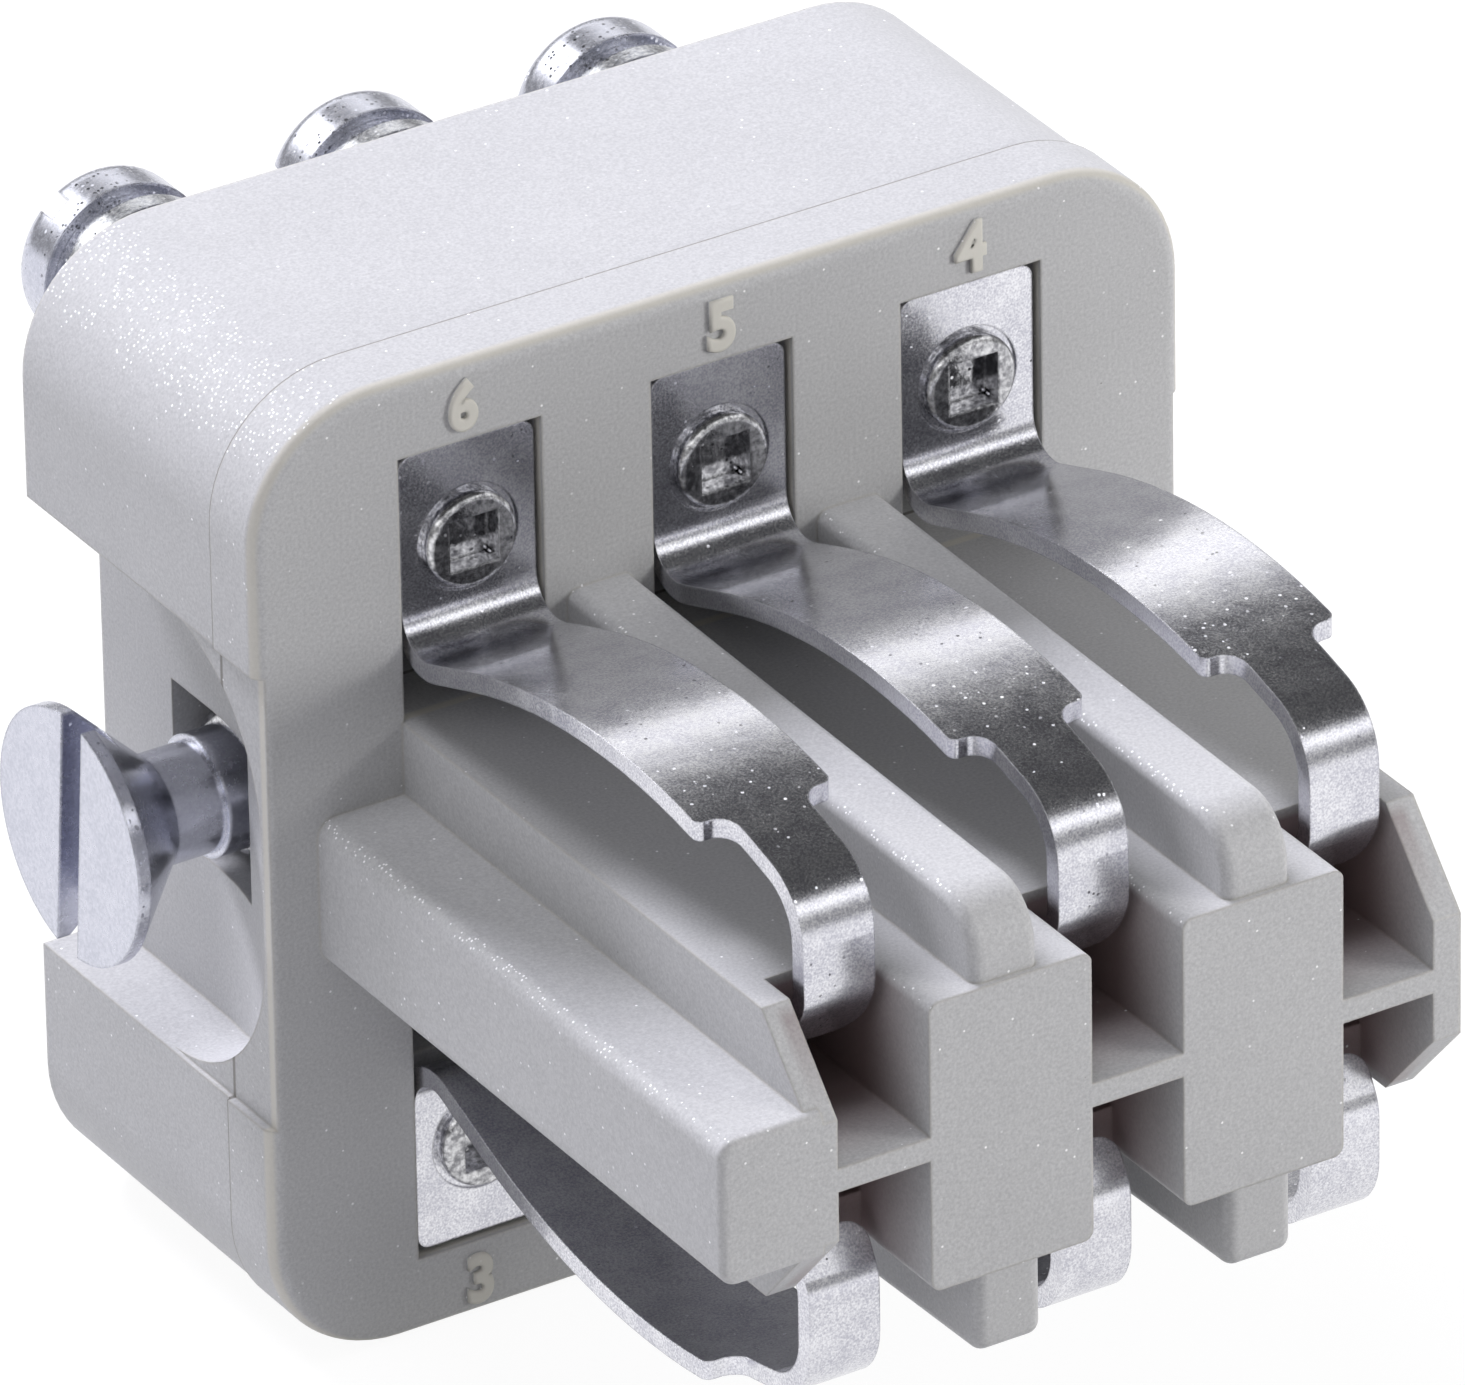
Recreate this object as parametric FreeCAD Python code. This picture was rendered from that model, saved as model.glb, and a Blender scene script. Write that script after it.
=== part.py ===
import FreeCAD, Part
import math
import os

# Heavy duty connector insert with six poles in two rows, in millimetres.
# X runs across the poles, Y from the mating side to the rear, Z is up.
# The origin is the centre of the front face of the moulded block.

# Rows of poles
poles_per_row = 3
pole_pitch = 9.0

# Moulded block
edge_margin = 7.7
block_depth = 14.0
corner_radius = 4.5
flange_thickness = 2.6
parting_step = 0.12
front_edge_radius = 0.5
top_wall = 2.65

# Tongue that carries the contacts
tongue_length = 23.2
deck_height = 5.0
side_plate = 1.0
side_chamfer_length = 2.6
side_chamfer_height = 2.9
slot_width = 3.25
slot_length = 4.0
chamber_length = 9.0
chamber_roof = 1.6
web_thickness = 0.82
post_corner_radius = 0.35

# Ribs between the contacts
rib_width = 2.35
upper_rib_rise = 2.8
upper_rib_taper = 0.3
upper_rib_nose_radius = 1.9
lower_rib_rise = 3.8
lower_rib_taper = 0.9
lower_rib_nose_radius = 0.5
rib_setback = 0.2
rib_edge_radius = 0.4

# Coding rail on the left of the tongue
rail_width = 3.1
rail_height = 5.0
rail_edge_radius = 0.6
rail_front_radius = 0.25

# Pocket in the front face for the root of each contact
pocket_width = 5.1
pocket_height = 9.1
plate_recess = 0.25
well_height = 2.3
well_depth = 4.0

# Recess in each side for the fixing screw
recess_depth = 2.6
recess_height = 15.9
recess_corner_radius = 5.9
recess_lip = 0.55
ramp_length = 6.8
side_relief = 0.3
nut_pocket_depth = 4.5
screw_way_depth = 2.6

# Partitions between the terminals at the rear
partition_thickness = 1.2
partition_depth = 4.4
partition_top_margin = 3.2
partition_side_margin = 5.6
seat_depth = 0.6

# Contact springs, bent from strip
strip_thickness = 0.65
spring_width = 4.8
finger_width = 2.5
plate_gap = 0.15
plate_corner_radius = 0.45
bend_rise = 1.6
bend_radius = 1.5
arch_reach = 10.8
arch_rise = 5.6
arch_radius = 25.0
shoulder_corner_radius = 0.3
finger_root_radius = 0.7
finger_length = 3.8
nose_rise = 3.1
nose_radius = 2.05
tip_setback = 2.7
tip_bend_drop = 0.4
tip_bend_radius = 1.3
tip_drop = 1.9
tip_lean = 0.85
tip_corner_radius = 0.8
lower_row_spread = 0.85

# Terminal posts, tapped from the rear and staked at the front
terminal_drop = 3.5
post_radius = 2.4
post_fit = 0.03
post_stand_out = 3.4
post_collar_radius = 2.9
post_collar_thickness = 1.0
post_shank_radius = 1.2
shank_fit = 0.05
stake_radius = 1.6
stake_height = 0.5
stake_edge_radius = 0.24
stake_socket = 1.75
stake_socket_depth = 0.75
dish_radius = 1.8
dish_depth = 0.1
tap_depth = 12.0

# Terminal screws with their captive washers
screw_radius = 1.5
screw_length = 14.4
screw_end_chamfer = 0.3
pan_head_radius = 2.95
pan_head_height = 2.0
pan_crown_radius = 0.8
pan_slot_width = 0.8
pan_slot_depth = 1.2
screw_stand_out = 6.7
spring_washer_thickness = 0.8
spring_washer_radius = 2.6
spring_washer_gap = 0.6
clamp_washer_thickness = 0.7
clamp_washer_radius = 2.9
washer_fit = 0.1

# Fixing screws and their nuts
fixing_depth = 7.2
fixing_radius = 2.0
fixing_neck_radius = 1.8
fixing_neck_length = 1.7
fixing_thread_length = 5.6
fixing_end_chamfer = 0.4
fixing_head_radius = 4.2
fixing_rim = 0.45
fixing_slot_width = 1.2
fixing_slot_depth = 1.3
fixing_way_gap = 0.4
nut_width = 5.0
nut_height = 5.4
nut_thickness = 2.2
nut_collar_length = 1.8
nut_collar_radius = 2.45
nut_collar_edge = 0.55
nut_corner = 0.35
nut_fit = 0.05
left_screw_stand_out = 2.65
right_screw_stand_out = 1.3

# How far each screw slot is turned
left_fixing_turn = 5.0
right_fixing_turn = 38.0
first_terminal_turn = 100.0
terminal_turn_step = 37.0

# Places that follow from the sizes above
row_reach = pole_pitch * (poles_per_row - 1) / 2
half_width = row_reach + edge_margin
pocket_top = deck_height + pocket_height
half_height = pocket_top + top_wall
terminal_height = pocket_top - terminal_drop
tongue_half_width = row_reach + slot_width / 2 + side_plate
pocket_depth = plate_recess + strip_thickness
recess_wall = half_width - recess_depth
rear_end = block_depth + post_stand_out
head_seat = block_depth + screw_stand_out
tiny = 0.01
through = 1.0

V = FreeCAD.Vector
ALONG_X = V(1, 0, 0)
ALONG_Y = V(0, 1, 0)
ALONG_Z = V(0, 0, 1)
CENTRE = V(0, 0, 0)


def box(x_low, x_high, y_low, y_high, z_low, z_high):
    size = V(x_high - x_low, y_high - y_low, z_high - z_low)
    return Part.makeBox(size.x, size.y, size.z, V(x_low, y_low, z_low))


def rod(radius, start, length, direction):
    return Part.makeCylinder(radius, length, start, direction)


def rounded_edges(points):
    """Lines through the points (a, b, radius), with a tangent arc at each inner point."""
    edges = []
    last = V(points[0][0], points[0][1], 0)
    for before, here, after in zip(points, points[1:], points[2:]):
        corner = V(here[0], here[1], 0)
        way_in = (corner - V(before[0], before[1], 0)).normalize()
        way_out = (V(after[0], after[1], 0) - corner).normalize()
        half_turn = way_in.getAngle(way_out) / 2
        radius = here[2]
        if radius > tiny and half_turn > tiny:
            reach = radius * math.tan(half_turn)
            start = corner - way_in * reach
            end = corner + way_out * reach
            inward = (way_out - way_in).normalize()
            middle = corner + inward * (radius / math.cos(half_turn) - radius)
            edges.append(Part.LineSegment(last, start).toShape())
            edges.append(Part.Arc(start, middle, end).toShape())
            last = end
        else:
            edges.append(Part.LineSegment(last, corner).toShape())
            last = corner
    edges.append(Part.LineSegment(last, V(points[-1][0], points[-1][1], 0)).toShape())
    return edges


def offset_points(points, distance):
    """The same path moved sideways to its left, with each radius changed to match."""
    moved = []
    count = len(points)
    for index, (a, b, radius) in enumerate(points):
        here = V(a, b, 0)
        way_in = None
        way_out = None
        if index > 0:
            way_in = (here - V(points[index - 1][0], points[index - 1][1], 0)).normalize()
        if index < count - 1:
            way_out = (V(points[index + 1][0], points[index + 1][1], 0) - here).normalize()
        way_in = way_in or way_out
        way_out = way_out or way_in
        left_in = V(-way_in.y, way_in.x, 0)
        left_out = V(-way_out.y, way_out.x, 0)
        shift = (left_in + left_out) * (distance / (1 + left_in.dot(left_out)))
        turns_left = way_in.cross(way_out).z > 0
        new_radius = radius - distance if turns_left else radius + distance
        moved.append((a + shift.x, b + shift.y, new_radius))
    return moved


def half_turn_at(points, index):
    (before_a, before_b, _), (a, b, _), (after_a, after_b, _) = points[index - 1:index + 2]
    return V(a - before_a, b - before_b, 0).getAngle(V(after_a - a, after_b - b, 0)) / 2


def fitting_radius(points, index, margin):
    """The radius named for a corner, or the largest that the corners beside it leave room for."""
    room = []
    for other in (index - 1, index + 1):
        length = math.dist(points[index][:2], points[other][:2])
        room.append(length - points[other][2] * math.tan(half_turn_at(points, other)))
    return min(points[index][2], min(room) / math.tan(half_turn_at(points, index)) - margin)


def closed_face(edges):
    return Part.Face(Part.Wire(Part.__sortEdges__(edges)))


def rounded_outline(points):
    """Closed face from corner points (a, b, radius), each corner rounded by its radius."""
    first = points[0]
    second = points[1]
    middle = ((first[0] + second[0]) / 2, (first[1] + second[1]) / 2, 0)
    ring = [middle] + list(points[1:]) + [first, middle]
    return closed_face(rounded_edges(ring))


def prism_along_x(face, x_low, x_high):
    """Face drawn as (y, z) and pushed along X."""
    turned = face.copy()
    turned.rotate(CENTRE, V(1, 1, 1), 120)
    turned.translate(V(x_low, 0, 0))
    return turned.extrude(V(x_high - x_low, 0, 0))


def prism_along_y(face, y_low, y_high):
    """Face drawn as (x, z) and pushed along Y."""
    turned = face.copy()
    turned.rotate(CENTRE, ALONG_X, 90)
    turned.translate(V(0, y_low, 0))
    return turned.extrude(V(0, y_high - y_low, 0))


def prism_along_z(face, z_low, z_high):
    """Face drawn as (x, y) and pushed along Z."""
    moved = face.copy()
    moved.translate(V(0, 0, z_low))
    return moved.extrude(V(0, 0, z_high - z_low))


def turned_about_x(profile):
    """Closed profile of (x, radius) points, turned about the X axis."""
    points = [V(x, radius, 0) for x, radius in profile]
    face = Part.Face(Part.makePolygon(points + points[:1]))
    return face.revolve(CENTRE, ALONG_X, 360)


def near(value, target):
    return abs(value - target) < tiny


def pole_places():
    """Number, X and row of each pole: 1 to 3 below from the right, 4 to 6 above from the right."""
    for row in (-1, 1):
        for column in range(poles_per_row):
            number = column + 1 if row < 0 else poles_per_row + column + 1
            yield number, row_reach - column * pole_pitch, row


def placed_at_pole(shape, x, row):
    """A shape drawn for the upper row at X = 0, turned over for the lower row."""
    placed = shape.copy()
    if row < 0:
        placed.rotate(CENTRE, ALONG_Y, 180)
    placed.translate(V(x, 0, 0))
    return placed


# Moulded insulator
def block():
    corners = [(-half_width, -half_height), (half_width, -half_height),
               (half_width, half_height), (-half_width, half_height)]
    flange = prism_along_y(rounded_outline([(x, z, corner_radius) for x, z in corners]),
                           0, flange_thickness)
    front = [edge for edge in flange.Edges if near(edge.BoundBox.YMax, 0)]
    flange = flange.makeFillet(front_edge_radius, front)
    inset = half_width - parting_step
    rear_corners = [(-inset, -half_height), (inset, -half_height),
                    (inset, half_height - parting_step), (-inset, half_height - parting_step)]
    rear = prism_along_y(rounded_outline([(x, z, corner_radius) for x, z in rear_corners]),
                         flange_thickness, block_depth)
    return flange.fuse(rear)


def tongue():
    """Flat carrier: two decks joined by side plates, posts and a thin web."""
    front = -tongue_length
    body = box(-tongue_half_width, tongue_half_width, front, flange_thickness, -deck_height, deck_height)
    chamfer_start = front + side_chamfer_length
    chamfer_foot = deck_height - side_chamfer_height
    for side in (-1, 1):
        inner = side * (tongue_half_width - side_plate)
        outer = side * (tongue_half_width + through)
        low, high = sorted((inner, outer))
        for row in (-1, 1):
            wedge = Part.Face(Part.makePolygon([
                V(0, front - through, row * chamfer_foot - row * side_chamfer_height
                  * through / side_chamfer_length),
                V(0, chamfer_start + through, row * (deck_height + side_chamfer_height
                  * through / side_chamfer_length)),
                V(0, front - through, row * (deck_height + side_chamfer_height
                  * through / side_chamfer_length)),
                V(0, front - through, row * chamfer_foot - row * side_chamfer_height
                  * through / side_chamfer_length)]))
            wedge.translate(V(low, 0, 0))
            body = body.cut(wedge.extrude(V(high - low, 0, 0)))
    for number, x, row in pole_places():
        left = x - slot_width / 2
        right = x + slot_width / 2
        slot = box(left, right, front - through, front + slot_length,
                   web_thickness / 2, deck_height + through)
        chamber = box(left, right, front - through, front + chamber_length,
                      web_thickness / 2, deck_height - chamber_roof)
        opening = slot.fuse(chamber)
        if row < 0:
            opening.rotate(V(x, 0, 0), ALONG_Y, 180)
        body = body.cut(opening)

    def on_post_corner(edge):
        bounds = edge.BoundBox
        return (near(abs(edge.CenterOfMass.z), deck_height) and near(bounds.YLength, slot_length)
                and bounds.XLength < tiny and abs(edge.CenterOfMass.x) < row_reach)

    return body.makeFillet(post_corner_radius, [edge for edge in body.Edges if on_post_corner(edge)])


def rib(rise, taper, nose_radius):
    """One rib, drawn on the upper side at X = 0."""
    front = -tongue_length + rib_setback
    top = deck_height + rise
    outline = rounded_outline([
        (flange_thickness, 0.0, 0.0),
        (flange_thickness, top, 0.0),
        (front, top - taper, nose_radius),
        (front, 0.0, 0.0)])
    solid = prism_along_x(outline, -rib_width / 2, rib_width / 2)
    sides = [edge for edge in solid.Edges
             if edge.BoundBox.XLength < tiny and edge.BoundBox.ZMax > deck_height
             and edge.BoundBox.YMin < 0 and edge.BoundBox.ZLength < top - 2 * tiny - web_thickness
             or edge.BoundBox.XLength < tiny and near(edge.BoundBox.YMax, front)]
    solid = solid.makeFillet(rib_edge_radius, sides)
    return solid.common(box(-rib_width, rib_width, front - through, flange_thickness + through,
                            deck_height - chamber_roof, top + through))


def coding_rail():
    outer = tongue_half_width + rail_width
    half = rail_height / 2
    outline = rounded_outline([
        (-outer, -half, rail_edge_radius),
        (-tongue_half_width + side_plate / 2, -half, 0.0),
        (-tongue_half_width + side_plate / 2, half, 0.0),
        (-outer, half, rail_edge_radius)])
    rail = prism_along_y(outline, -tongue_length, flange_thickness)
    front = [edge for edge in rail.Edges
             if near(edge.BoundBox.YMax, -tongue_length) and edge.BoundBox.XMax < -tongue_half_width]
    return rail.makeFillet(rail_front_radius, front)


def contact_pocket():
    """Pocket for the root of an upper contact at X = 0, with the well under its bend."""
    half = pocket_width / 2
    seat = box(-half, half, -through, pocket_depth, deck_height, pocket_top)
    well = box(-half, half, -through, well_depth, deck_height, deck_height + well_height)
    bore = rod(post_radius + post_fit, V(0, 0, terminal_height), block_depth + through, ALONG_Y)
    seat_bore = rod(post_collar_radius + post_fit, V(0, block_depth - seat_depth, terminal_height),
                    seat_depth + through, ALONG_Y)
    return seat.fuse([well, bore, seat_bore])


def side_recess():
    """What is cut from the right side for its fixing screw."""
    relief_wall = half_width - side_relief
    outside = half_width + through
    back = block_depth + through
    ramp_start = recess_lip + ramp_length
    rise = relief_wall - recess_wall
    ramp_radius = (rise ** 2 + ramp_length ** 2) / (2 * rise)
    half_span = math.atan2(rise, ramp_length)
    middle = V(recess_wall + ramp_radius * (1 - math.cos(half_span)),
               ramp_start - ramp_radius * math.sin(half_span), 0)
    foot = V(recess_wall, ramp_start, 0)
    lip = V(relief_wall, recess_lip, 0)
    rest = [lip, V(outside, recess_lip, 0), V(outside, back, 0), V(recess_wall, back, 0), foot]
    edges = [Part.Arc(foot, middle, lip).toShape()]
    edges += [Part.LineSegment(a, b).toShape() for a, b in zip(rest, rest[1:])]
    half = recess_height / 2
    plan = prism_along_z(closed_face(edges), -half, half)
    side = prism_along_x(rounded_outline([
        (recess_lip, -half, recess_corner_radius), (back, -half, 0.0),
        (back, half, 0.0), (recess_lip, half, recess_corner_radius)]), 0, outside)
    relief = box(relief_wall, outside, -through, back, -half, half)
    nut_half_width = nut_width / 2 + nut_fit
    nut_half_height = nut_height / 2 + nut_fit
    nut_pocket = box(recess_wall - nut_pocket_depth, outside,
                     fixing_depth - nut_half_width, fixing_depth + nut_half_width,
                     -nut_half_height, nut_half_height)
    way = rod(fixing_radius + fixing_way_gap,
              V(recess_wall - nut_pocket_depth - screw_way_depth, fixing_depth, 0),
              nut_pocket_depth + screw_way_depth, ALONG_X)
    return plan.common(side).fuse([relief, nut_pocket, way])


def partitions():
    """Walls between the terminals on the rear face."""
    thick = partition_thickness / 2
    start = block_depth - through
    end = block_depth + partition_depth
    top = half_height - partition_top_margin
    side = half_width - partition_side_margin
    walls = [box(-side, side, start, end, -thick, thick)]
    for index in range(poles_per_row - 1):
        x = -row_reach + (index + 0.5) * pole_pitch
        walls.append(box(x - thick, x + thick, start, end, -top, top))
    return walls


def insulator_body():
    body = block().fuse([tongue(), coding_rail()])
    upper = rib(upper_rib_rise, upper_rib_taper, upper_rib_nose_radius)
    lower = rib(lower_rib_rise, lower_rib_taper, lower_rib_nose_radius)
    for index in range(poles_per_row - 1):
        x = -row_reach + (index + 0.5) * pole_pitch
        body = body.fuse([placed_at_pole(upper, x, 1), placed_at_pole(lower, x, -1)])
    body = body.fuse(partitions())
    for number, x, row in pole_places():
        body = body.cut(placed_at_pole(contact_pocket(), x, row))
    recess = side_recess()
    body = body.cut(recess)
    body = body.cut(recess.mirror(CENTRE, ALONG_X))
    return body.removeSplitter()


# Contacts and terminals, drawn for the upper row at X = 0
def contact_spring(spread):
    """Bent strip: flat root, bend, arched spring, nose and a tip that leans back.

    The arch rounds the corner where its two slopes meet. The strip narrows to a finger at
    the shoulders. The spread is how far the nose has set outwards, growing from the root."""
    root_y = plate_recess + strip_thickness / 2
    tip_y = -tongue_length + tip_setback
    shoulder_y = tip_y + finger_length
    end_y = tip_y + tip_lean

    def outwards(y, rise):
        return deck_height + rise + spread * y / tip_y

    path = [
        (root_y, pocket_top - plate_gap, 0.0),
        (root_y, deck_height + bend_rise, bend_radius),
        (-arch_reach, outwards(-arch_reach, arch_rise), arch_radius),
        (tip_y, outwards(tip_y, nose_rise), nose_radius),
        (tip_y, outwards(tip_y, -tip_bend_drop), tip_bend_radius),
        (end_y, outwards(end_y, -tip_drop), 0.0)]
    arch = 2
    path[arch] = (*path[arch][:2], fitting_radius(path, arch, strip_thickness))
    one_side = offset_points(path, strip_thickness / 2)
    other_side = offset_points(path, -strip_thickness / 2)
    caps = []
    for index in (0, -1):
        start = V(one_side[index][0], one_side[index][1], 0)
        end = V(other_side[index][0], other_side[index][1], 0)
        caps.append(Part.LineSegment(start, end).toShape())
    section = closed_face(rounded_edges(one_side) + rounded_edges(other_side) + caps)
    strip = prism_along_x(section, -spring_width / 2, spring_width / 2)

    wide = spring_width / 2
    narrow = finger_width / 2
    rear = root_y + strip_thickness
    front = -tongue_length
    outline = rounded_outline([
        (wide, rear, 0.0), (-wide, rear, 0.0),
        (-wide, shoulder_y, shoulder_corner_radius), (-narrow, shoulder_y, finger_root_radius),
        (-narrow, front, 0.0), (narrow, front, 0.0),
        (narrow, shoulder_y, finger_root_radius), (wide, shoulder_y, shoulder_corner_radius)])
    strip = strip.common(prism_along_z(outline, 0, half_height))

    def on_root_corner(edge):
        return near(edge.BoundBox.ZMin, path[0][1]) and edge.BoundBox.XLength < tiny

    def on_tip_corner(edge):
        return near(edge.CenterOfMass.z, path[-1][1]) and near(edge.Length, strip_thickness)

    strip = strip.makeFillet(plate_corner_radius, [e for e in strip.Edges if on_root_corner(e)])
    strip = strip.makeFillet(tip_corner_radius, [e for e in strip.Edges if on_tip_corner(e)])
    hole = rod(post_shank_radius + shank_fit, V(0, 0, terminal_height), rear, ALONG_Y)
    dish = rod(dish_radius, V(0, 0, terminal_height), plate_recess + dish_depth, ALONG_Y)
    return strip.cut(hole.fuse(dish))


def terminal_post():
    """Round post: staked shank in front, collar and tapped end at the rear."""
    seat = plate_recess + dish_depth
    axis = V(0, 0, terminal_height)
    shank = rod(post_shank_radius, axis + V(0, seat, 0), pocket_depth, ALONG_Y)
    barrel = rod(post_radius, axis + V(0, pocket_depth, 0), rear_end - pocket_depth, ALONG_Y)
    collar = rod(post_collar_radius, axis + V(0, block_depth - seat_depth, 0),
                 post_collar_thickness, ALONG_Y)
    stake = rod(stake_radius, axis + V(0, seat - stake_height, 0), stake_height, ALONG_Y)
    rim = [edge for edge in stake.Edges if near(edge.BoundBox.YMax, seat - stake_height)]
    stake = stake.makeFillet(stake_edge_radius, rim)
    post = shank.fuse([barrel, collar, stake])
    half = stake_socket / 2
    socket = box(-half, half, seat - stake_height - through,
                 seat - stake_height + stake_socket_depth,
                 terminal_height - half, terminal_height + half)
    tap = rod(screw_radius, axis + V(0, rear_end - tap_depth, 0), tap_depth + through, ALONG_Y)
    return post.cut(socket.fuse(tap))


def terminal_screw(turn):
    """Slotted pan head screw, backed out as it is before a wire is clamped."""
    axis = V(0, 0, terminal_height)
    head = rod(pan_head_radius, axis + V(0, head_seat, 0), pan_head_height, ALONG_Y)
    face = head_seat + pan_head_height
    rim = [edge for edge in head.Edges if near(edge.BoundBox.YMin, face)]
    head = head.makeFillet(pan_crown_radius, rim)
    shank = rod(screw_radius, axis + V(0, head_seat - screw_length, 0), screw_length, ALONG_Y)
    end = [edge for edge in shank.Edges if near(edge.BoundBox.YMax, head_seat - screw_length)]
    shank = shank.makeChamfer(screw_end_chamfer, end)
    half = pan_slot_width / 2
    slot = box(-half, half, face - pan_slot_depth, face + through,
               terminal_height - 2 * pan_head_radius, terminal_height + 2 * pan_head_radius)
    slot.rotate(axis, ALONG_Y, turn)
    return head.fuse(shank).cut(slot).removeSplitter()


def spring_washer():
    """Split ring under the screw head."""
    start = V(0, head_seat - spring_washer_thickness, terminal_height)
    ring = rod(spring_washer_radius, start, spring_washer_thickness, ALONG_Y)
    ring = ring.cut(rod(screw_radius + washer_fit, start, spring_washer_thickness, ALONG_Y))
    half = spring_washer_gap / 2
    split = box(-half, half, start.y, head_seat, terminal_height - 2 * spring_washer_radius,
                terminal_height)
    return ring.cut(split)


def clamp_washer():
    """Plain ring that presses on the wire."""
    start = V(0, head_seat - spring_washer_thickness - clamp_washer_thickness, terminal_height)
    ring = rod(clamp_washer_radius, start, clamp_washer_thickness, ALONG_Y)
    return ring.cut(rod(screw_radius + washer_fit, start, clamp_washer_thickness, ALONG_Y))


# Fixing hardware, drawn for the right side
def fixing_screw(stand_out, turn):
    """Slotted countersunk screw with a smooth neck, its axis along X."""
    face = half_width + stand_out
    cone_top = face - fixing_rim
    cone_foot = cone_top - (fixing_head_radius - fixing_neck_radius)
    thread_start = cone_foot - fixing_neck_length
    end = thread_start - fixing_thread_length
    screw = turned_about_x([
        (face, 0.0), (face, fixing_head_radius), (cone_top, fixing_head_radius),
        (cone_foot, fixing_neck_radius), (thread_start, fixing_neck_radius),
        (thread_start, fixing_radius), (end + fixing_end_chamfer, fixing_radius),
        (end, fixing_radius - fixing_end_chamfer), (end, 0.0)])
    half = fixing_slot_width / 2
    slot = box(face - fixing_slot_depth, face + through, -half, half,
               -2 * fixing_head_radius, 2 * fixing_head_radius)
    slot.rotate(CENTRE, ALONG_X, turn)
    screw = screw.cut(slot)
    screw.translate(V(0, fixing_depth, 0))
    return screw


def fixing_nut():
    """Square nut at the bottom of its pocket."""
    inner = recess_wall - nut_pocket_depth
    nut = box(inner, inner + nut_thickness, fixing_depth - nut_width / 2,
              fixing_depth + nut_width / 2, -nut_height / 2, nut_height / 2)
    corners = [edge for edge in nut.Edges if near(edge.BoundBox.XLength, nut_thickness)]
    nut = nut.makeFillet(nut_corner, corners)
    collar = rod(nut_collar_radius, V(inner + nut_thickness, fixing_depth, 0), nut_collar_length, ALONG_X)
    face = inner + nut_thickness + nut_collar_length
    collar = collar.makeFillet(nut_collar_edge, [e for e in collar.Edges if near(e.BoundBox.XMin, face)])
    nut = nut.fuse(collar).removeSplitter()
    return nut.cut(rod(fixing_radius, V(inner - through, fixing_depth, 0),
                       face - inner + 2 * through, ALONG_X))


def save(shape, name):
    if len(shape.Solids) != 1 or not shape.isValid():
        print("check", name, "solids", len(shape.Solids), "valid", shape.isValid())
    shape.exportStep("parts/" + name + ".step")


def main():
    os.makedirs("parts", exist_ok=True)
    save(insulator_body(), "insulator_body")
    springs = {1: contact_spring(0.0), -1: contact_spring(lower_row_spread)}
    per_pole = {
        "terminal_post": terminal_post(),
        "spring_washer": spring_washer(),
        "clamp_washer": clamp_washer(),
    }
    for number, x, row in pole_places():
        for name, shape in per_pole.items():
            save(placed_at_pole(shape, x, row), "%s_%d" % (name, number))
        save(placed_at_pole(springs[row], x, row), "contact_spring_%d" % number)
        turn = first_terminal_turn + number * terminal_turn_step
        save(placed_at_pole(terminal_screw(turn), x, row), "terminal_screw_%d" % number)
    save(fixing_screw(right_screw_stand_out, right_fixing_turn), "fixing_screw_right")
    save(fixing_screw(left_screw_stand_out, left_fixing_turn).mirror(CENTRE, ALONG_X),
         "fixing_screw_left")
    save(fixing_nut(), "fixing_nut_right")
    save(fixing_nut().mirror(CENTRE, ALONG_X), "fixing_nut_left")


main()
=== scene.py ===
import math

import bmesh
import bpy
from mathutils import Matrix, Vector


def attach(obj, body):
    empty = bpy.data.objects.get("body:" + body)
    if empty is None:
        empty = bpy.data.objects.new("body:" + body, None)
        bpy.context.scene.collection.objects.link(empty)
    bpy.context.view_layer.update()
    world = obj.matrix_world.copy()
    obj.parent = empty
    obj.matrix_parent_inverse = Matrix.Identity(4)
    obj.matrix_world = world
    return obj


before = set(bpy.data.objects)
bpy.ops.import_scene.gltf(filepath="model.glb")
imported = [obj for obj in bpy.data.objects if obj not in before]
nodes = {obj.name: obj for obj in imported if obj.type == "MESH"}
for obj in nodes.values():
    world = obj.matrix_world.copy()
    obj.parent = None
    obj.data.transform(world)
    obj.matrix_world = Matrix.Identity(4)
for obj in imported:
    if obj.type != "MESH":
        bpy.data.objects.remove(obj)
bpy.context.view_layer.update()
print("frame loaded:", len(nodes), "nodes")

mm = 0.001
polePitch = 9.0 * mm
scene = bpy.context.scene


# shader helpers


class Wire:
    # one output of a node, so that shader sums can be written as sums

    def __init__(self, finish, socket):
        self.finish = finish
        self.socket = socket

    def maths(self, operation, *values):
        sockets = dict(enumerate(values))
        return self.finish.node("ShaderNodeMath", {"operation": operation}, sockets)

    def __add__(self, other):
        return self.maths("ADD", self, other)

    def __radd__(self, other):
        return self.maths("ADD", other, self)

    def __sub__(self, other):
        return self.maths("SUBTRACT", self, other)

    def __rsub__(self, other):
        return self.maths("SUBTRACT", other, self)

    def __mul__(self, other):
        return self.maths("MULTIPLY", self, other)

    def __rmul__(self, other):
        return self.maths("MULTIPLY", other, self)

    def size(self):
        return self.maths("ABSOLUTE", self)


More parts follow.
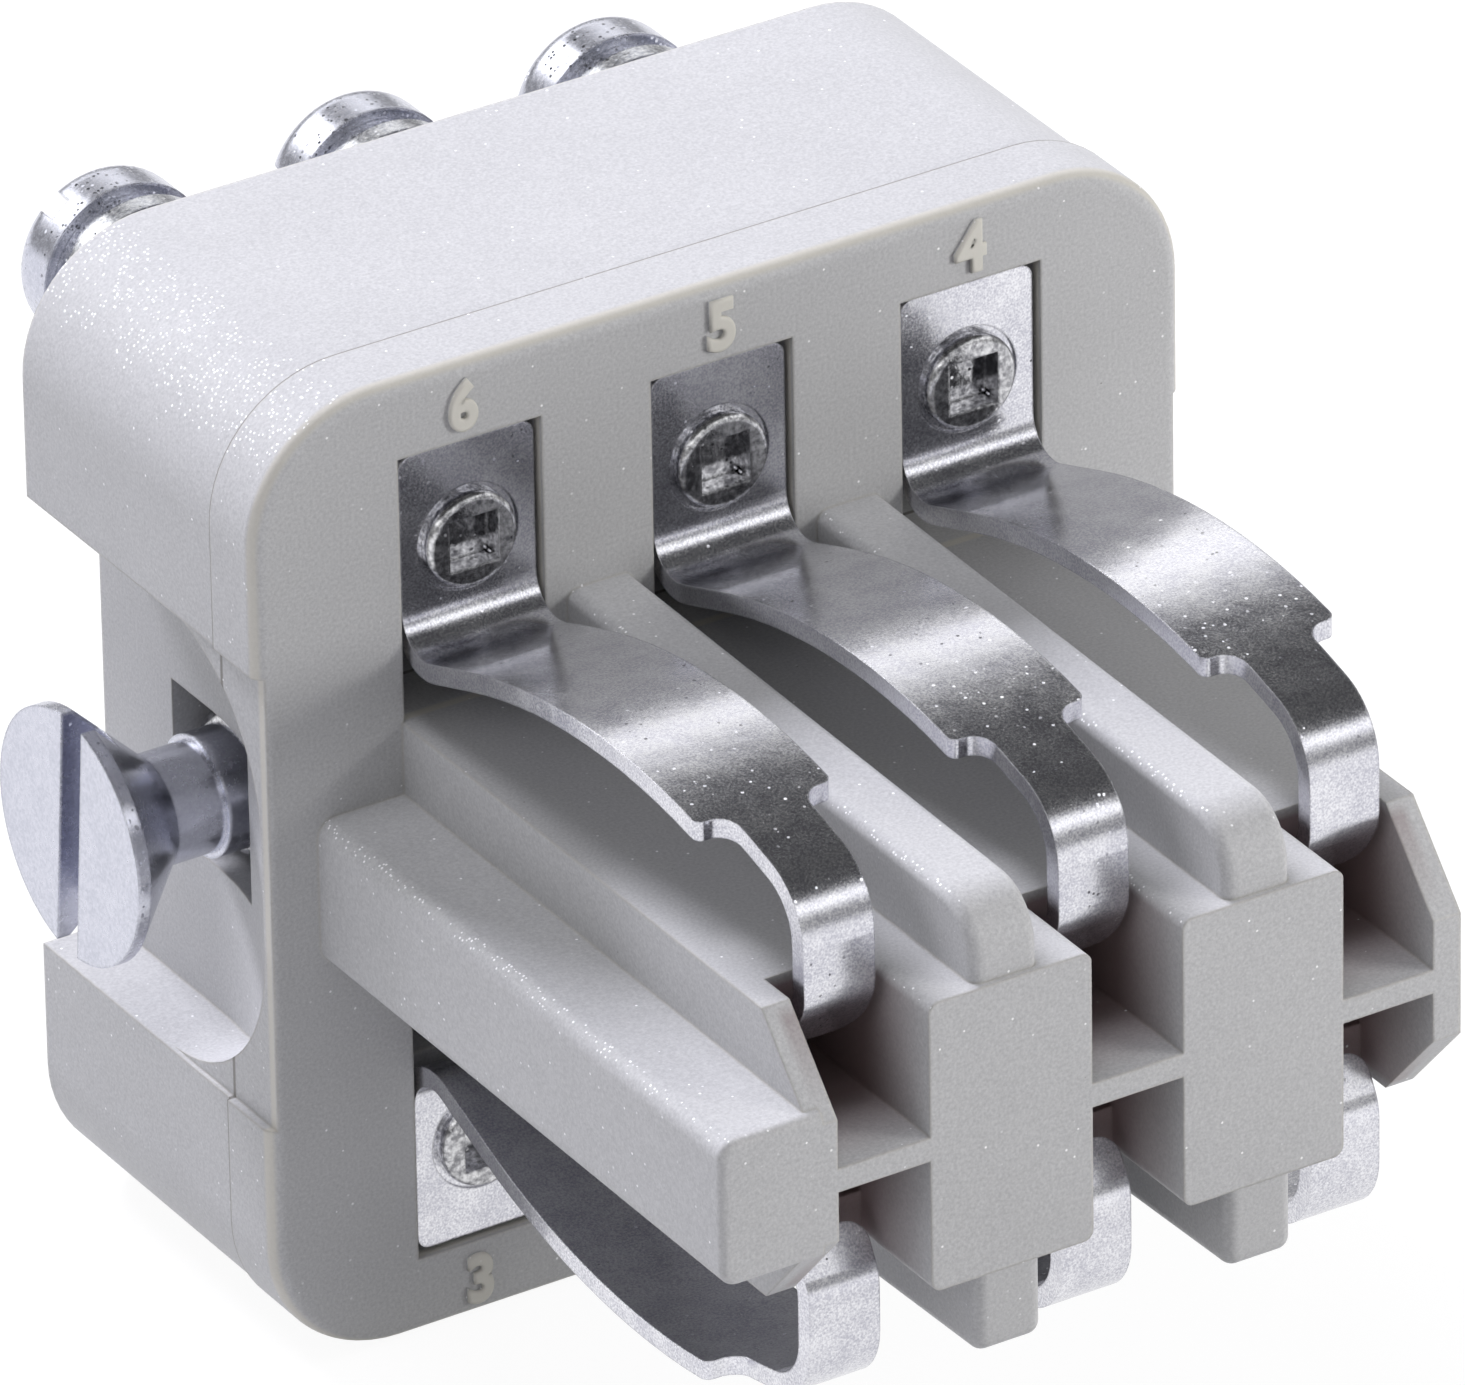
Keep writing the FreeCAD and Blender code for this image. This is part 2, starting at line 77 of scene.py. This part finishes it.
class Finish:
    # a tree of nodes, of a material or of the world

    def __init__(self, owner):
        owner.use_nodes = True
        self.owner = owner
        self.tree = owner.node_tree
        self.tree.nodes.clear()

    def node(self, kind, settings=None, sockets=None, output=0):
        made = self.tree.nodes.new(kind)
        for key, value in (settings or {}).items():
            setattr(made, key, value)
        for key, value in (sockets or {}).items():
            self.feed(made.inputs[key], value)
        return Wire(self, made.outputs[output]) if len(made.outputs) else None

    def feed(self, socket, value):
        if isinstance(value, Wire):
            self.tree.links.new(value.socket, socket)
        else:
            socket.default_value = value

    def inMillimetres(self):
        place = self.node("ShaderNodeTexCoord", output="Object")
        return self.node("ShaderNodeMapping", {}, {"Vector": place, "Scale": (1000.0, 1000.0, 1000.0)})

    def axes(self, place):
        split = self.tree.nodes.new("ShaderNodeSeparateXYZ")
        self.feed(split.inputs[0], place)
        return [Wire(self, socket) for socket in split.outputs]

    def noise(self, place, scale, detail=2.0, roughness=0.5):
        sockets = {"Vector": place, "Scale": scale, "Detail": detail, "Roughness": roughness}
        return self.node("ShaderNodeTexNoise", {}, sockets)

    def cells(self, place, scale):
        # how far a point is from the middle of its cell, and the cell's own random colour
        made = self.tree.nodes.new("ShaderNodeTexVoronoi")
        self.feed(made.inputs["Vector"], place)
        self.feed(made.inputs["Scale"], scale)
        return Wire(self, made.outputs["Distance"]), Wire(self, made.outputs["Color"])

    def vector(self, operation, first, second=None, output="Vector"):
        sockets = {0: first} if second is None else {0: first, 1: second}
        return self.node("ShaderNodeVectorMath", {"operation": operation}, sockets, output)

    def scaled(self, vector, amount):
        return self.node("ShaderNodeVectorMath", {"operation": "SCALE"}, {0: vector, "Scale": amount})

    def facets(self, place, scale, share, lean):
        # small round facets, each tipped its own way, on a share of the cells
        distance, own = self.cells(place, scale)
        chosen = self.between(self.axes(own)[0], 1.0 - share, 1.0 - share + 0.02)
        facet = chosen * self.between(distance, 0.30, 0.38, 1.0, 0.0)
        return self.scaled(self.vector("SUBTRACT", own, (0.5, 0.5, 0.5)), facet * lean), facet

    def between(self, value, low, high, newLow=0.0, newHigh=1.0):
        sockets = {"Value": value, "From Min": low, "From Max": high, "To Min": newLow, "To Max": newHigh}
        return self.node("ShaderNodeMapRange", {"clamp": True}, sockets)

    def mix(self, amount, first, second):
        made = self.tree.nodes.new("ShaderNodeMix")
        made.data_type = "RGBA"
        for index, value in ((0, amount), (6, first), (7, second)):
            if not isinstance(value, (Wire, float, int)):
                value = (*value, 1.0)
            self.feed(made.inputs[index], value)
        return Wire(self, made.outputs[2])

    def bumped(self, height, edge):
        sockets = {"Strength": 1.0, "Distance": mm, "Height": height, "Normal": edge}
        return self.node("ShaderNodeBump", {}, sockets)

    def shaded(self, constants, varying):
        shader = self.node("ShaderNodeBsdfPrincipled", {}, {**constants, **varying})
        self.node("ShaderNodeOutputMaterial", {}, {"Surface": shader})
        return self.owner


def colour(red, green, blue):
    # screen values 0-255 to the linear values that a socket takes
    values = []
    for value in (red, green, blue):
        value = value / 255.0
        values.append(value / 12.92 if value <= 0.04045 else ((value + 0.055) / 1.055) ** 2.4)
    return tuple(values)


# finishes

plastic = {
    "pale": colour(199, 199, 199),
    "deep": colour(174, 174, 175),
    # creamier skin on rounded edges, partly a painted edge highlight
    "edge": colour(208, 204, 192),
    # white of the painted glints off the glass fibres
    "glintWhite": colour(255, 255, 255),
    # colour of the painted shade in the tongue's chambers
    "shade": colour(124, 98, 98),
    # real dust specks, and painted shade in the parting step
    "dirtAndGrooveShade": colour(112, 108, 102),
    "digit": colour(216, 213, 203),
    "roughness": 0.50,
    "edgeRadius": 0.15 * mm,
    "clouds": 0.20,  # this and the next three are to a millimetre
    "grains": 9.0,
    "dust": 0.50,
    "glintCells": 7.0,
    "grainHeight": 0.004,  # mm
    "cloudHeight": 0.06,
    "glintShare": 0.50,
    "fewGlints": 0.012,
    "glintFacing": (-0.576, -0.024, 0.817),
}
marks = {  # where the moulding's marks are, in mm
    "chamberMouth": (-22.9, -19.5),
    "chamberEnd": (-13.6, -14.2),
    "chamberHigh": (4.95, 4.6),
    "chamberWide": (11.3, 11.0),
    "lipFront": (0.06, 0.16),
    "lipBack": (0.50, 0.36),
    "digitsFrom": (14.0, 14.1),
    "digitFront": (-0.03, -0.08),
    "partingPlace": 2.63,
    "partingWidth": (0.10, 0.05),
}


def mouldedPlastic(name):
    # pale grey glass-filled plastic, with painted white glints off the fibres, dense on the shoulders,
    # paler creamier edges that are partly a painted highlight, and painted shade in the chambers and the
    # parting step
    look = Finish(bpy.data.materials.new(name))
    place = look.inMillimetres()
    cloud = look.noise(place, plastic["clouds"], 2.0, 0.6)
    grain = look.noise(place, plastic["grains"], 2.0, 0.7)
    base = look.mix(look.between(cloud * 0.12 + grain * 0.88, 0.30, 0.70), plastic["deep"], plastic["pale"])
    dust = look.between(look.cells(place, plastic["dust"])[0], 0.010, 0.020, 0.8, 0.0)
    base = look.mix(dust, base, plastic["dirtAndGrooveShade"])
    edge = look.node("ShaderNodeBevel", {"samples": 3}, {"Radius": plastic["edgeRadius"]})
    flat = look.node("ShaderNodeNewGeometry", output="Normal")
    turned = look.vector("DOT_PRODUCT", edge, flat, "Value")
    # partly painted highlight: edges found by the bevel are made paler and creamier
    base = look.mix(look.between(turned, 0.90, 0.995, 0.60, 0.0), base, plastic["edge"])
    # painted shade: the chambers inside the tongue darkened to a brownish tone
    base = look.mix(paintedChamberShade(look) * 0.8, base, plastic["shade"])
    # partly painted highlight: the front lip made paler and creamier
    base = look.mix(frontLip(look) * 0.7, base, plastic["edge"])
    base = look.mix(digitSkin(look) * 0.9, base, plastic["digit"])
    # painted shade: a dark line along the parting step
    base = look.mix(paintedPartingShade(look) * 0.8, base, plastic["dirtAndGrooveShade"])
    # painted glints: white specks in the base colour where the shoulders mirror the light
    base = look.mix(paintedGlints(look, place, flat), base, plastic["glintWhite"])
    rough = plastic["roughness"] + (grain - 0.5) * 0.16
    height = grain * plastic["grainHeight"] + cloud * plastic["cloudHeight"]
    bump = look.bumped(height, edge)
    return look.shaded({"IOR": 1.54}, {"Base Color": base, "Roughness": rough, "Normal": bump})


def paintedGlints(look, place, flat):
    # painted glints: white specks in the base colour for light glinting off glass fibres, packed where the
    # rounded shoulders face up and to the left and so mirror a light from behind
    distance, own = look.cells(place, plastic["glintCells"])
    glintZone = look.between(look.vector("DOT_PRODUCT", flat, plastic["glintFacing"], "Value"), 0.90, 0.98)
    patch = look.between(look.noise(place, 0.7, 1.0), 0.30, 0.55, 0.35, 1.0)
    share = glintZone * patch * plastic["glintShare"] + plastic["fewGlints"]
    chosen = look.between(look.axes(own)[0] - (1.0 - share), 0.0, 0.01)
    return chosen * look.between(distance, 0.24, 0.36, 1.0, 0.0)


def paintedChamberShade(look):
    # painted shade: the deep chambers under the spring tips darkened and browned, as shade and bounced
    # light fall there
    x, y, z = look.axes(look.inMillimetres())
    depth = look.between(y, *marks["chamberMouth"]) * look.between(y, *marks["chamberEnd"])
    inside = depth * look.between(z.size(), *marks["chamberHigh"])
    return inside * look.between(x.size(), *marks["chamberWide"])


def frontLip(look):
    # the rounded edge round the front face, creamier and lighter: partly the moulding's skin, partly a
    # painted highlight
    y = look.axes(look.inMillimetres())[1]
    return look.between(y, *marks["lipFront"]) * look.between(y, *marks["lipBack"])


def digitSkin(look):
    # the raised digits stand out in a cleaner, creamier skin
    x, y, z = look.axes(look.inMillimetres())
    return look.between(z.size(), *marks["digitsFrom"]) * look.between(y, *marks["digitFront"])


def paintedPartingShade(look):
    # painted shade: a dark line in the fine step where the two halves of the mould met
    y = look.axes(look.inMillimetres())[1]
    return look.between((y - marks["partingPlace"]).size(), *marks["partingWidth"])


metals = {
    "spring": {"clean": colour(236, 236, 240), "dull": colour(186, 186, 196), "roughness": 0.21,
               "mottle": 0.0014, "grain": 13.0, "edge": 0.08, "share": 0.10, "lean": 0.25},
    "post": {"clean": colour(222, 222, 224), "dull": colour(128, 128, 132), "roughness": 0.14,
             "mottle": 0.0050, "grain": 5.0, "edge": 0.12, "share": 0.25, "lean": 0.35},
    "zinc": {"clean": colour(214, 215, 226), "dull": colour(194, 196, 208), "roughness": 0.24,
             "mottle": 0.0012, "grain": 7.0, "edge": 0.16, "share": 0.45, "lean": 0.8},
    "washer": {"clean": colour(222, 223, 227), "dull": colour(170, 172, 180), "roughness": 0.24,
               "mottle": 0.0050, "grain": 6.0, "edge": 0.10, "share": 0.30, "lean": 0.5},
}
metalClouds = {"scale": 0.8, "height": 0.012, "facets": 6.0}  # scales are to a millimetre
screwAxis = {"y": 7.2, "rim": 3.5, "rimEnd": 3.8, "face": 19.2}  # the fixing screws, in mm


def platedMetal(name, values):
    # rolled or turned metal under plating: fine grain, soft clouds and a few bright facets
    look = Finish(bpy.data.materials.new(name))
    place = look.inMillimetres()
    cloud = look.noise(place, metalClouds["scale"], 2.0, 0.55)
    grain = look.noise(place, values["grain"], 3.0, 0.65)
    tint = look.mix(look.between(cloud * 0.25 + grain * 0.75, 0.38, 0.62), values["dull"], values["clean"])
    lean, facet = look.facets(place, metalClouds["facets"], values["share"], values["lean"])
    if name.startswith("zinc"):
        x, y, z = look.axes(place)
        across = look.node("ShaderNodeCombineXYZ", {}, {"X": 0.0, "Y": y - screwAxis["y"], "Z": z})
        out = look.vector("LENGTH", across, None, "Value")
        rim = look.between(out, screwAxis["rim"], screwAxis["rimEnd"])
        rim = rim * look.between(x.size(), screwAxis["face"] + 0.05, screwAxis["face"] - 0.05)
        lean = look.scaled(lean, rim)
    rough = values["roughness"] + (grain - 0.5) * 0.20 + (cloud - 0.5) * 0.12 - facet * 0.06
    edge = look.node("ShaderNodeBevel", {"samples": 3}, {"Radius": values["edge"] * mm})
    height = grain * values["mottle"] + cloud * metalClouds["height"]
    bump = look.bumped(height, edge)
    normal = look.vector("NORMALIZE", look.vector("ADD", bump, lean))
    return look.shaded({"Metallic": 1.0}, {"Base Color": tint, "Roughness": rough, "Normal": normal})


finishes = {
    "insulator": mouldedPlastic("glass filled grey"),
    "spring_silver": platedMetal("silvered spring", metals["spring"]),
    "post_plating": platedMetal("plated post", metals["post"]),
    "zinc_steel": platedMetal("zinc plated steel", metals["zinc"]),
    "washer_steel": platedMetal("plated washer", metals["washer"]),
}
finishOfNode = {
    "insulator_body": "insulator", "contact_spring": "spring_silver", "terminal_post": "post_plating",
    "terminal_screw": "zinc_steel", "fixing_screw": "zinc_steel", "fixing_nut": "post_plating",
    "spring_washer": "washer_steel", "clamp_washer": "washer_steel",
}
for name, thing in nodes.items():
    stem = next(stem for stem in finishOfNode if name.startswith(stem))
    thing.data.materials.clear()
    thing.data.materials.append(finishes[finishOfNode[stem]])
print("finishes made:", len(finishes))


# added pieces


def finished(mesh, name, slot):
    # a mesh that already has its place becomes a piece of the part
    thing = bpy.data.objects.new(name, mesh)
    scene.collection.objects.link(thing)
    mesh.materials.clear()
    mesh.materials.append(finishes[slot])
    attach(thing, "root")
    return thing


digits = {
    "height": 1.8 * mm,
    "narrow": 0.90,
    "raised": 0.18 * mm,
    "sunk": 0.06 * mm,
    "weight": 0.055 * mm,
    "rounding": 0.07 * mm,
    "letterShare": 0.73,  # of the font's size
    "upper": (("6", -9.25), ("5", -0.05), ("4", 8.95)),
    "lower": (("3", -9.4), ("2", -0.2), ("1", 8.8)),
    "upperMiddle": 15.35 * mm,
    "lowerMiddle": -15.4 * mm,
}


def positionDigit(letter, x, z):
    # a raised position digit on the front face
    words = bpy.data.curves.new("digit " + letter, "FONT")
    words.body = letter
    words.size = digits["height"] / digits["letterShare"]
    words.align_x = "CENTER"
    words.offset = digits["weight"]
    words.extrude = (digits["raised"] + digits["sunk"]) / 2
    words.bevel_depth = digits["rounding"]
    words.bevel_resolution = 2
    words.resolution_u = 6
    holder = bpy.data.objects.new("digit holder", words)
    scene.collection.objects.link(holder)
    bpy.context.view_layer.update()
    mesh = bpy.data.meshes.new_from_object(holder.evaluated_get(bpy.context.evaluated_depsgraph_get()))
    bpy.data.objects.remove(holder)
    shape = bmesh.new()
    shape.from_mesh(mesh)
    bmesh.ops.remove_doubles(shape, verts=shape.verts, dist=0.0005 * mm)
    low = min(v.co.y for v in shape.verts)
    high = max(v.co.y for v in shape.verts)
    left = min(v.co.x for v in shape.verts)
    right = max(v.co.x for v in shape.verts)
    front = max(v.co.z for v in shape.verts)
    stretch = digits["height"] / (high - low)
    bmesh.ops.translate(shape, verts=shape.verts, vec=(-(left + right) / 2, -(low + high) / 2, -front))
    bmesh.ops.scale(shape, verts=shape.verts, vec=(stretch * digits["narrow"], stretch, 1.0))
    bmesh.ops.rotate(shape, verts=shape.verts, cent=(0, 0, 0), matrix=Matrix.Rotation(math.pi / 2, 3, "X"))
    bmesh.ops.translate(shape, verts=shape.verts, vec=(x * mm, -digits["raised"], z))
    bmesh.ops.recalc_face_normals(shape, faces=shape.faces)
    shape.to_mesh(mesh)
    shape.free()
    return finished(mesh, "digit_" + letter, "insulator")


for letter, x in digits["upper"]:
    positionDigit(letter, x, digits["upperMiddle"])
for letter, x in digits["lower"]:
    positionDigit(letter, x, digits["lowerMiddle"])
print("digits raised on the front face")


# floor, light, camera

stage = {
    "floor": -16.76 * mm,
    "floorSize": 3.0,
    "bounce": 0.55,
    "white": 1.16,
    "ambientFront": 0.28,
    "ambientBack": 0.24,
    "paper": 0.8,  # how much of the floor's own white the camera and the mirrors see
    "horizon": 0.40,
    "band": 1.70,
    "ceiling": 0.10,
    "bandStart": (0.26, 0.44),  # heights in the sky, 1 is straight up
    "bandEnd": (0.52, 0.65),
    "glint": 3.0,
    "glintEdge": (0.955, 0.98),
    "glintWay": (-0.33, 0.71, 0.62),
}


def paleFloor():
    shape = bmesh.new()
    bmesh.ops.create_grid(shape, x_segments=2, y_segments=2, size=stage["floorSize"] / 2)
    bmesh.ops.translate(shape, verts=shape.verts, vec=(0, 0, stage["floor"]))
    mesh = bpy.data.meshes.new("pale floor")
    shape.to_mesh(mesh)
    shape.free()
    floor = bpy.data.objects.new("pale_floor", mesh)
    scene.collection.objects.link(floor)
    look = Finish(bpy.data.materials.new("white paper"))
    matt = look.node("ShaderNodeBsdfDiffuse", {}, {"Color": (*(stage["bounce"],) * 3, 1.0)})
    lit = look.node("ShaderNodeEmission", {}, {"Color": (1.0, 1.0, 1.0, 1.0), "Strength": stage["white"]})
    path = look.tree.nodes.new("ShaderNodeLightPath")
    seen = Wire(look, path.outputs["Is Camera Ray"])
    for kind in ("Is Glossy Ray", "Is Transmission Ray"):
        seen = seen.maths("MAXIMUM", seen, Wire(look, path.outputs[kind]))
    both = look.node("ShaderNodeMixShader", {}, {0: seen * stage["paper"], 1: matt, 2: lit})
    look.node("ShaderNodeOutputMaterial", {}, {"Surface": both})
    mesh.materials.append(look.owner)


def studioWorld():
    # a dim ceiling over a bright band in what mirrors see, and a soft ambient for the rest
    world = bpy.data.worlds.new("studio")
    scene.world = world
    look = Finish(world)
    way = look.node("ShaderNodeTexCoord", output="Generated")
    x, y, z = look.axes(way)
    mirrored = look.between(z, *stage["bandStart"], stage["horizon"], stage["band"])
    mirrored = mirrored - look.between(z, *stage["bandEnd"], 0.0, stage["band"] - stage["ceiling"])
    glint = look.node("ShaderNodeVectorMath", {"operation": "DOT_PRODUCT"},
                      {0: way, 1: stage["glintWay"]}, output="Value")
    mirrored = mirrored + look.between(glint, *stage["glintEdge"], 0.0, stage["glint"])
    ambient = look.between(y, -0.8, 0.8, stage["ambientFront"], stage["ambientBack"])
    path = look.tree.nodes.new("ShaderNodeLightPath")
    strength = ambient + (mirrored - ambient) * Wire(look, path.outputs["Is Glossy Ray"])
    strength = strength + (1.0 - strength) * Wire(look, path.outputs["Is Camera Ray"])
    sky = look.node("ShaderNodeBackground", {}, {"Color": (1.0, 1.0, 1.0, 1.0), "Strength": strength})
    look.node("ShaderNodeOutputWorld", {}, {"Surface": sky})


lamps = {
    "behind": {"from": (-0.08, 0.50, 0.42), "size": (0.25, 0.16), "power": 6.8, "tint": (0.90, 0.90, 1.0)},
    "above": {"from": (-0.08, -0.04, 0.60), "size": (0.20, 0.20), "power": 0.9, "tint": (0.93, 0.93, 1.0)},
    "left": {"from": (-0.55, 0.00, 0.32), "size": (0.40, 0.40), "power": 0.6, "tint": (0.93, 0.93, 1.0)},
    "front": {"from": (0.15, -0.15, 0.06), "size": (0.08, 0.08), "power": 0.26, "tint": (1.0, 0.99, 0.98)},
}


def softLamp(name, values):
    lamp = bpy.data.lights.new(name, "AREA")
    lamp.shape = "RECTANGLE"
    lamp.size, lamp.size_y = values["size"]
    lamp.energy = values["power"]
    lamp.color = values["tint"]
    thing = bpy.data.objects.new(name, lamp)
    scene.collection.objects.link(thing)
    thing.location = values["from"]
    toPart = Vector((0, 0, 0)) - thing.location
    thing.rotation_mode = "QUATERNION"
    thing.rotation_quaternion = toPart.to_track_quat("-Z", "Y")
    thing.visible_glossy = False


view = {
    "azimuth": -31.4655, "elevation": 29.4792, "roll": -1.0172, "distance": 71.3307,
    "aside": 0.0128, "up": 0.2353, "focal": 20828.344, "imageWidth": 1465, "sensor": 36.0,
}


def photoCamera():
    turn = math.radians(view["azimuth"])
    lift = math.radians(view["elevation"])
    roll = math.radians(view["roll"])
    back = Vector((math.sin(turn) * math.cos(lift), -math.cos(turn) * math.cos(lift), math.sin(lift)))
    right = Vector((math.cos(turn), math.sin(turn), 0.0))
    up = back.cross(right)
    side = right * math.cos(roll) + up * math.sin(roll)
    top = up * math.cos(roll) - right * math.sin(roll)
    lens = bpy.data.cameras.new("photo camera")
    lens.sensor_fit = "HORIZONTAL"
    lens.sensor_width = view["sensor"]
    lens.lens = view["focal"] / view["imageWidth"] * view["sensor"]
    lens.clip_start = 0.05
    lens.clip_end = 10.0
    camera = bpy.data.objects.new("photo camera", lens)
    scene.collection.objects.link(camera)
    camera.rotation_mode = "QUATERNION"
    camera.location = (side * view["aside"] + top * view["up"] + back * view["distance"]) * polePitch
    camera.rotation_quaternion = Matrix((side, top, back)).transposed().to_quaternion()
    scene.camera = camera


paleFloor()
studioWorld()
for name, values in lamps.items():
    softLamp(name, values)
photoCamera()
scene.view_settings.view_transform = "Standard"
print("floor, lamps and camera set")
